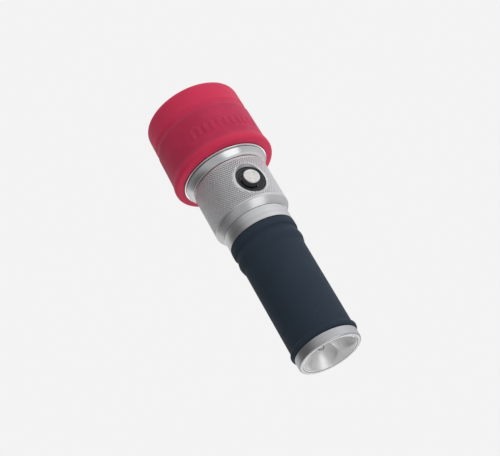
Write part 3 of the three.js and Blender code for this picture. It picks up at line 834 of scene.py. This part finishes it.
def switch_housing():
    node = "switch_housing"
    start = low(node)
    end = high(node)
    stub = radius("head_o_ring")
    bore = stub - 1.6
    sleeve_start = high("head_collar") + 0.1
    outline = rounded([
        (HOUSING_RADIUS, KNURL_END),
        (HOUSING_RADIUS, end - 3.1, 0.25),
        (HOUSING_RADIUS - 2.0, end, 0.05),
        (13.3, end, 0.1),
        (13.3, end - 4.4),
        (13.6, end - 4.4),
        (13.6, start + 8.0),
        (bore, start + 8.0),
        (bore, start, 0.2),
        (stub, start, 0.3),
        (stub, start + 2.9, 0.1),
        (stub - 0.9, start + 2.9),
        (stub - 0.9, start + 4.1),
        (stub, start + 4.1, 0.1),
        (stub, sleeve_start),
        (HOUSING_RADIUS - 0.3, sleeve_start, 0.1),
        (HOUSING_RADIUS, sleeve_start + 0.3, 0.2),
        (HOUSING_RADIUS, KNURL_START),
    ])
    bm = bmesh.new()
    rings = turned_rings(bm, outline, 2 * KNURL_COLUMNS)
    knurled_band(bm, rings[-1], rings[0])
    for face in bm.faces:
        middle = face.calc_center_median()
        in_band = KNURL_START < middle.z < KNURL_END
        face.material_index = 0 if in_band and middle.xy.length > HOUSING_RADIUS - 1 else 1
    housing = build(node, bm)
    housing.data.materials.append(SATIN)
    hole = radius("switch_surround") + 0.12
    face = -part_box("switch_surround")[0].y / MM
    sunk = HOUSING_RADIUS + 0.5 - face
    outside = HOUSING_RADIUS + 0.6
    tool = [(0, 8), (hole, 8), (hole, face + 0.1), (hole + sunk, outside), (0, outside)]
    cut(housing, revolve(tool, COARSE, place=HOUSING_TURN))
    return housing


# ---------------------------------------------------------------- button


def switch_surround():
    """Glossy dished ring round the button, with one fine step in its dish."""
    outer = radius("switch_surround")
    face = -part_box("switch_surround")[0].y / MM
    back = -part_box("switch_surround")[1].y / MM
    bore = radius_of_cap() + 0.25
    outline = rounded([
        (outer - 1.2, back),
        (outer, back, 0.2),
        (outer, face - 0.25, 0.3),
        (outer - 0.3, face, 0.25),
        (outer - 0.75, face - 0.05, 0.3),
        (outer - 1.35, face - 0.62, 0.2),
        (outer - 1.5, face - 0.60, 0.06),
        (outer - 1.6, face - 0.74, 0.06),
        (bore + 0.25, face - 1.0, 0.3),
        (bore, face - 1.15, 0.1),
        (bore, back + 2.0),
        (outer - 1.2, back + 2.0),
    ])
    return build("switch_surround", revolve(outline, COARSE, place=HOUSING_TURN))


def radius_of_cap():
    """Radius of the button cap above its flange, 1 mm less than the flange's."""
    return radius("button_cap") - 1.05


CAP_FLUTES = 36
CAP_FLUTE_DEPTH = 0.09


def button_cap():
    """Turned metal cap with fine rings in its face and a fluted side."""
    cap = radius_of_cap()
    face = -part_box("button_cap")[0].y / MM
    back = -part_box("button_cap")[1].y / MM
    top = [(0, face - 0.06)]
    for ring in (0.9, 1.5, 2.1, 2.7):
        top += [
            (ring - 0.09, face - 0.06 + 0.02 * ring, 0.03),
            (ring, face - 0.13 + 0.02 * ring, 0.03),
            (ring + 0.09, face - 0.06 + 0.02 * ring, 0.03),
        ]
    outline = rounded([
        (0, back),
        (cap + 1.05, back),
        (cap + 1.05, back + 0.7, 0.1),
        (cap, back + 0.7),
        (cap, face - 0.5, 0.1),
        (cap - 0.12, face - 0.16, 0.14),
        (cap - 0.4, face, 0.18),
        *reversed(top),
    ])

    def flutes(r, angle, height):
        if r < cap - 0.02 or r > cap + 0.5 or height > face - 0.45:
            return r
        return r - CAP_FLUTE_DEPTH * (0.5 - 0.5 * math.cos(CAP_FLUTES * angle))

    cap_mesh = revolve(evenly(outline, 1.0), 8 * CAP_FLUTES, flutes, HOUSING_TURN)
    return build("button_cap", cap_mesh, CAP_METAL)


def button_parts():
    top = -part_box("switch_body")[0].y / MM
    flange = -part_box("button_cap")[1].y / MM
    start = top + 0.1
    end = flange - 0.1
    plunger = rounded([(0, start), (1.4, start, 0.15), (1.4, end, 0.1), (0, end)])
    build("button_plunger", revolve(plunger, 48, place=HOUSING_TURN))
    thickness = 0.2
    points = helix(2.6, 2.6, start + thickness, end - thickness, 2.5)
    spring = build("button_spring", swept_wire([HOUSING_TURN @ point for point in points], thickness))
    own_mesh(spring)


# ---------------------------------------------------------------- grip and tail


def grip_sleeve():
    outline = [
        (r, z, 0.15 if r < radius("battery_tube") - 1 else 0.6)
        for r, z in outline_of("grip_sleeve")
    ]
    return build("grip_sleeve", revolve(evenly(rounded(outline, 8), 3.0), FINE))


THREAD_PITCH = 1.5
THREAD_DEPTH = 0.35


def tail_cap():
    """Cap with a rounded rim and a real thread on its stub."""
    node = "tail_cap"
    start = low(node)
    end = high(node)
    outer = radius(node)
    shoulder = end - 4.5
    rim = outer - 1.8
    stub = rim - 1.0
    bore = stub - 0.7
    outline = rounded([
        (bore, start, 0.1),
        (stub - 0.3, start, 0.2),
        (stub, start + 0.6),
        (stub, shoulder - 1.6),
        (stub - 0.35, shoulder - 1.2),
        (stub - 0.35, shoulder),
        (outer - 0.3, shoulder, 0.15),
        (outer, shoulder + 0.3, 0.2),
        (outer, end - 0.6, 0.35),
        (outer - 0.3, end - 0.15, 0.3),
        (outer - 0.65, end, 0.25),
        (rim + 0.3, end, 0.2),
        (rim, end - 0.3, 0.15),
        (rim, end - 3.75),
        (bore, end - 3.75),
    ])

    def thread(r, angle, height):
        if r < stub - 0.01 or height < start + 0.5 or height > shoulder - 1.5:
            return r
        phase = (height / THREAD_PITCH - angle / (2 * math.pi)) % 1
        taper = ease((height - start - 0.5) / 0.8) * ease((shoulder - 1.5 - height) / 0.8)
        return r - THREAD_DEPTH * abs(2 * phase - 1) * taper

    return build(node, revolve(evenly(outline, 0.12), FINE, thread), TAIL_METAL)


def lamp_places():
    """Middle of each tail lamp, across the light's axis."""
    return [centre(f"tail_led_{i}").xy for i in (1, 2, 3)]


def tail_reflector():
    """Insert with three paraboloid bowls that run into each other along sharp ridges."""
    node = "tail_reflector"
    start = low(node)
    end = high(node)
    rim = radius(node) + 0.1
    shoulder = start + 5.2
    funnel = end - 3.1
    body = rounded([
        (0, start),
        (rim - 1.95, start),
        (rim - 1.95, shoulder),
        (rim, shoulder),
        (rim, end, 0.1),
        (rim - 0.4, end, 0.15),
        (rim - 0.6, end - 0.3, 0.2),
        (7, funnel, 0.5),
        (0, funnel),
    ])
    insert = build(node, revolve(body, FINE))
    floor = start + 1.3
    mouth = 8.1
    steps = 22
    bowl = [(0, floor)]
    bowl += [(mouth * i / steps, floor + (end - floor) * (i / steps) ** 2) for i in range(1, steps + 1)]
    bowl += [(mouth, end + 1), (0, end + 1)]
    hole = radius_across("tail_led_1") + 0.3
    for place in lamp_places():
        turn = Matrix.Translation((*place, 0))
        cut(insert, revolve(bowl, FINE, place=turn))
    drill = [(0, start - 1), (hole, start - 1), (hole, end), (0, end)]
    for place in lamp_places():
        turn = Matrix.Translation((*place, 0))
        cut(insert, revolve(drill, 48, place=turn))
    return insert


def radius_across(node):
    """Half of a CAD node's width, in millimetres."""
    lowest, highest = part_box(node)
    return (highest.x - lowest.x) / 2 / MM


def tail_lamps():
    """Clear domed lamps, each with its plated cup inside."""
    for i, place in enumerate(lamp_places(), 1):
        node = f"tail_led_{i}"
        lamp = radius_across(node)
        base = low(node)
        tip = high(node)
        turn = Matrix.Translation((*place, 0))
        dome = [(lamp * math.cos(a), tip - lamp + lamp * math.sin(a)) for a in quarter_turn(10)]
        outline = [(0, base), (lamp - 0.1, base), (lamp, base + 0.1), *dome]
        build(node, revolve(outline, 48, place=turn))
        cup = rounded([
            (0, base + 0.3),
            (0.75, base + 0.3, 0.05),
            (0.95, base + 1.2, 0.05),
            (0.6, base + 1.2, 0.05),
            (0.35, base + 1.0, 0.05),
            (0, base + 1.05),
        ])
        plating = "spring_steel"
        cup_mesh = revolve(cup, 32, place=turn)
        add_object(f"{node}_cup", cup_mesh, BODY_OF[node], MATERIALS[plating])


def quarter_turn(steps):
    """Even angles from level to straight up."""
    return [math.pi / 2 * step / steps for step in range(steps + 1)]


# ---------------------------------------------------------------- other pieces


def o_ring(node, thickness):
    """A round-section seal that fills its CAD ring's outside."""
    middle = radius(node) - thickness
    height = (low(node) + high(node)) / 2
    section = [
        (middle + thickness * math.cos(a), height + thickness * math.sin(a))
        for a in (2 * math.pi * i / 16 for i in range(16))
    ]
    return build(node, revolve(section, FINE))


def turned(node, soft, segments=FINE, material=None, about_own_middle=False):
    """A CAD node that was turned, made again with fine facets and softened corners."""
    middle = centre(node).xy if about_own_middle else Vector((0, 0))
    outline = softened(outline_of(node, middle), soft)
    return build(node, revolve(outline, segments, place=Matrix.Translation((*middle, 0))), material)


def spring(node, start_radius, end_radius, thickness, turns):
    points = helix(start_radius, end_radius, low(node) + thickness, high(node) - thickness, turns)
    return build(node, swept_wire(points, thickness))


def led_pill():
    """Brass slug behind the lamp's board, with two holes for its leads."""
    node = "led_pill"
    start = low(node)
    end = high(node)
    outer = radius(node)
    outline = rounded([
        (0, start),
        (11, start, 0.3),
        (11, start + 2.4),
        (outer, start + 2.4, 0.3),
        (outer, end, 0.3),
        (0, end),
    ])
    pill = build(node, revolve(outline, FINE))
    drill = [(0, start - 1), (0.8, start - 1), (0.8, end + 1), (0, end + 1)]
    for lead in ("led_lead_positive", "led_lead_negative"):
        side = math.copysign(6.2, centre(lead).x)
        cut(pill, revolve(drill, 24, place=Matrix.Translation((side, 0, 0))))
    return pill


def keep_frame_piece(node, bevel):
    """A boxy CAD node carried over as it is, with eased edges and its own material."""
    piece = frame["nodes"][node]
    piece.data.materials.clear()
    piece.data.materials.append(MATERIALS[SLOT_OF[node]])
    modifier = piece.modifiers.new("eased edges", "BEVEL")
    modifier.width = bevel * MM
    modifier.segments = 2
    modifier.limit_method = "ANGLE"
    modifier.angle_limit = math.radians(40)


def all_pieces():
    red_boot()
    switch_housing()
    switch_surround()
    button_cap()
    button_parts()
    grip_sleeve()
    tail_cap()
    tail_reflector()
    tail_lamps()
    led_pill()
    turned("head_shell", 0.25, material=POLISHED)
    turned("front_bezel_ring", 0.2)
    turned("front_lens", 0.3)
    turned("main_reflector", 3.0)
    turned("main_led", 0.25, COARSE)
    turned("head_collar", 0.3, material=COLLAR_METAL)
    turned("battery_tube", 0.05)
    turned("contact_board", 0.05)
    turned("carrier_front_plate", 0.3)
    turned("carrier_rear_plate", 0.3)
    turned("carrier_spine", 0.1, 32)
    turned("carrier_front_contact", 0.2, COARSE)
    turned("carrier_rear_contact", 0.1, COARSE)
    turned("tail_led_board", 0.05)
    for i in (1, 2, 3):
        turned(f"battery_cell_{i}", 0.35, COARSE, about_own_middle=True)
    o_ring("lens_o_ring", 0.45)
    o_ring("head_o_ring", 0.4)
    o_ring("housing_o_ring", 0.4)
    o_ring("tail_o_ring", 0.38)
    spring("front_contact_spring", 3.6, 2.0, 0.35, 3.5)
    spring("tail_contact_spring", 4.4, 2.6, 0.4, 3.5)
    for node in ("led_star_board", "driver_board"):
        keep_frame_piece(node, 0.15)
    for node in ("switch_body", "driver_chip"):
        keep_frame_piece(node, 0.3)
    for node in ("led_lead_positive", "led_lead_negative"):
        keep_frame_piece(node, 0.05)


all_pieces()

# ---------------------------------------------------------------- stage

BACKDROP = 0.896
BRIGHT_SIDE = (80, -45)  # degrees from the camera to the picture's right, and upwards
DARK_SIDE = (-72, -5)
VIEW_TARGET = Vector((0.0029, 0.0002, 0.0645))
VIEW_AROUND = math.radians(-59.9)  # direction from the light to the camera, about +Z from +X
VIEW_DOWN = math.radians(27.8)
VIEW_DISTANCE = 0.5465
VIEW_ROLL = math.radians(149.95)
VIEW_LENS = 93.6  # focal length in millimetres on a sensor 36 mm wide


def direction(around, up):
    """Unit vector at an angle about +Z from +X and an angle above the horizon."""
    return Vector((math.cos(up) * math.cos(around), math.cos(up) * math.sin(around), math.sin(up)))


def floor():
    bm = bmesh.new()
    bmesh.ops.create_grid(bm, x_segments=1, y_segments=1, size=6)
    mesh = bpy.data.meshes.new("floor")
    bm.to_mesh(mesh)
    bm.free()
    material = bpy.data.materials.new("pale_floor")
    material.use_nodes = True
    tree = material.node_tree
    tree.nodes.clear()
    glow = tree.nodes.new("ShaderNodeEmission")
    glow.inputs["Color"].default_value = (BACKDROP, BACKDROP, BACKDROP, 1)
    output = tree.nodes.new("ShaderNodeOutputMaterial")
    tree.links.new(glow.outputs[0], output.inputs["Surface"])
    mesh.materials.append(material)
    plane = bpy.data.objects.new("floor", mesh)
    plane.location.z = -0.0002
    bpy.context.scene.collection.objects.link(plane)
    plane.visible_diffuse = False
    plane.visible_glossy = False
    plane.visible_transmission = False
    plane.visible_shadow = False


ROOM_LEVEL = 0.5
ROOM_SIDE = 0.42  # how much brighter the room is low on the picture's right
ROOM_SHADE = 0.74  # share of the light that is missing in the middle of the room's dark side


def toward(from_camera, up):
    """Direction given in degrees: an angle from the camera to the picture's right, and one upwards."""
    return direction(VIEW_AROUND - math.radians(from_camera), math.radians(up))


def world():
    """A room that is bright on the right and dark on the left. The camera sees a pale backdrop."""
    scene_world = bpy.data.worlds.new("studio")
    scene_world.use_nodes = True
    tree = scene_world.node_tree
    tree.nodes.clear()
    coordinate = tree.nodes.new("ShaderNodeTexCoord")

    def share(way, start, end):
        """From 0 to 1 as the view direction's cosine with one way goes from start to end."""
        dot = tree.nodes.new("ShaderNodeVectorMath")
        dot.operation = "DOT_PRODUCT"
        dot.inputs[1].default_value = way
        tree.links.new(coordinate.outputs["Generated"], dot.inputs[0])
        ramp = tree.nodes.new("ShaderNodeMapRange")
        ramp.interpolation_type = "SMOOTHSTEP"
        ramp.inputs["From Min"].default_value = start
        ramp.inputs["From Max"].default_value = end
        tree.links.new(dot.outputs["Value"], ramp.inputs["Value"])
        return ramp.outputs["Result"]

    def scaled(value, scale, start):
        """value times scale, plus start."""
        node = tree.nodes.new("ShaderNodeMath")
        node.operation = "MULTIPLY_ADD"
        tree.links.new(value, node.inputs[0])
        node.inputs[1].default_value = scale
        node.inputs[2].default_value = start
        return node.outputs[0]

    bright = scaled(share(toward(*BRIGHT_SIDE), 0, 1), ROOM_SIDE, ROOM_LEVEL)
    dark = scaled(share(toward(*DARK_SIDE), 0.55, 0.95), -ROOM_SHADE, 1)
    level = tree.nodes.new("ShaderNodeMath")
    level.operation = "MULTIPLY"
    tree.links.new(bright, level.inputs[0])
    tree.links.new(dark, level.inputs[1])
    room = tree.nodes.new("ShaderNodeBackground")
    room.inputs["Color"].default_value = (1.0, 1.0, 1.02, 1)
    tree.links.new(level.outputs[0], room.inputs["Strength"])
    backdrop = tree.nodes.new("ShaderNodeBackground")
    backdrop.inputs["Color"].default_value = (BACKDROP, BACKDROP, BACKDROP, 1)
    path = tree.nodes.new("ShaderNodeLightPath")
    choose = tree.nodes.new("ShaderNodeMixShader")
    tree.links.new(path.outputs["Is Camera Ray"], choose.inputs[0])
    tree.links.new(room.outputs[0], choose.inputs[1])
    tree.links.new(backdrop.outputs[0], choose.inputs[2])
    output = tree.nodes.new("ShaderNodeOutputWorld")
    tree.links.new(choose.outputs[0], output.inputs["Surface"])
    bpy.context.scene.world = scene_world


def softbox(name, way, distance, width, height, power):
    """A rectangular light that faces the object from one way."""
    lamp = bpy.data.lights.new(name, "AREA")
    lamp.shape = "RECTANGLE"
    lamp.size = width
    lamp.size_y = height
    lamp.energy = power
    holder = bpy.data.objects.new(name, lamp)
    holder.location = VIEW_TARGET + way * distance
    holder.rotation_euler = way.to_track_quat("Z", "Y").to_euler()
    holder.visible_camera = False
    bpy.context.scene.collection.objects.link(holder)


def camera():
    back = direction(VIEW_AROUND, VIEW_DOWN)
    place = VIEW_TARGET + back * VIEW_DISTANCE
    level_right = (-back).cross(Vector((0, 0, 1))).normalized()
    level_up = level_right.cross(-back)
    right = level_right * math.cos(VIEW_ROLL) + level_up * math.sin(VIEW_ROLL)
    up = level_up * math.cos(VIEW_ROLL) - level_right * math.sin(VIEW_ROLL)
    lens = bpy.data.cameras.new("camera")
    lens.lens = VIEW_LENS
    lens.sensor_width = 36
    holder = bpy.data.objects.new("camera", lens)
    holder.matrix_world = Matrix((
        (right.x, up.x, back.x, place.x),
        (right.y, up.y, back.y, place.y),
        (right.z, up.z, back.z, place.z),
        (0, 0, 0, 1),
    ))
    bpy.context.scene.collection.objects.link(holder)
    bpy.context.scene.camera = holder


floor()
world()
softbox("right_softbox", toward(75, -25), 0.9, 0.5, 1.0, 0.15)
softbox("left_softbox", toward(-140, -20), 0.8, 0.7, 1.0, 0.6)
softbox("top_softbox", toward(44, 42), 0.9, 0.6, 0.7, 1.15)
softbox("back_softbox", toward(180, 38), 0.9, 0.9, 0.5, 1.4)
camera()
bpy.context.scene.view_settings.view_transform = "Standard"
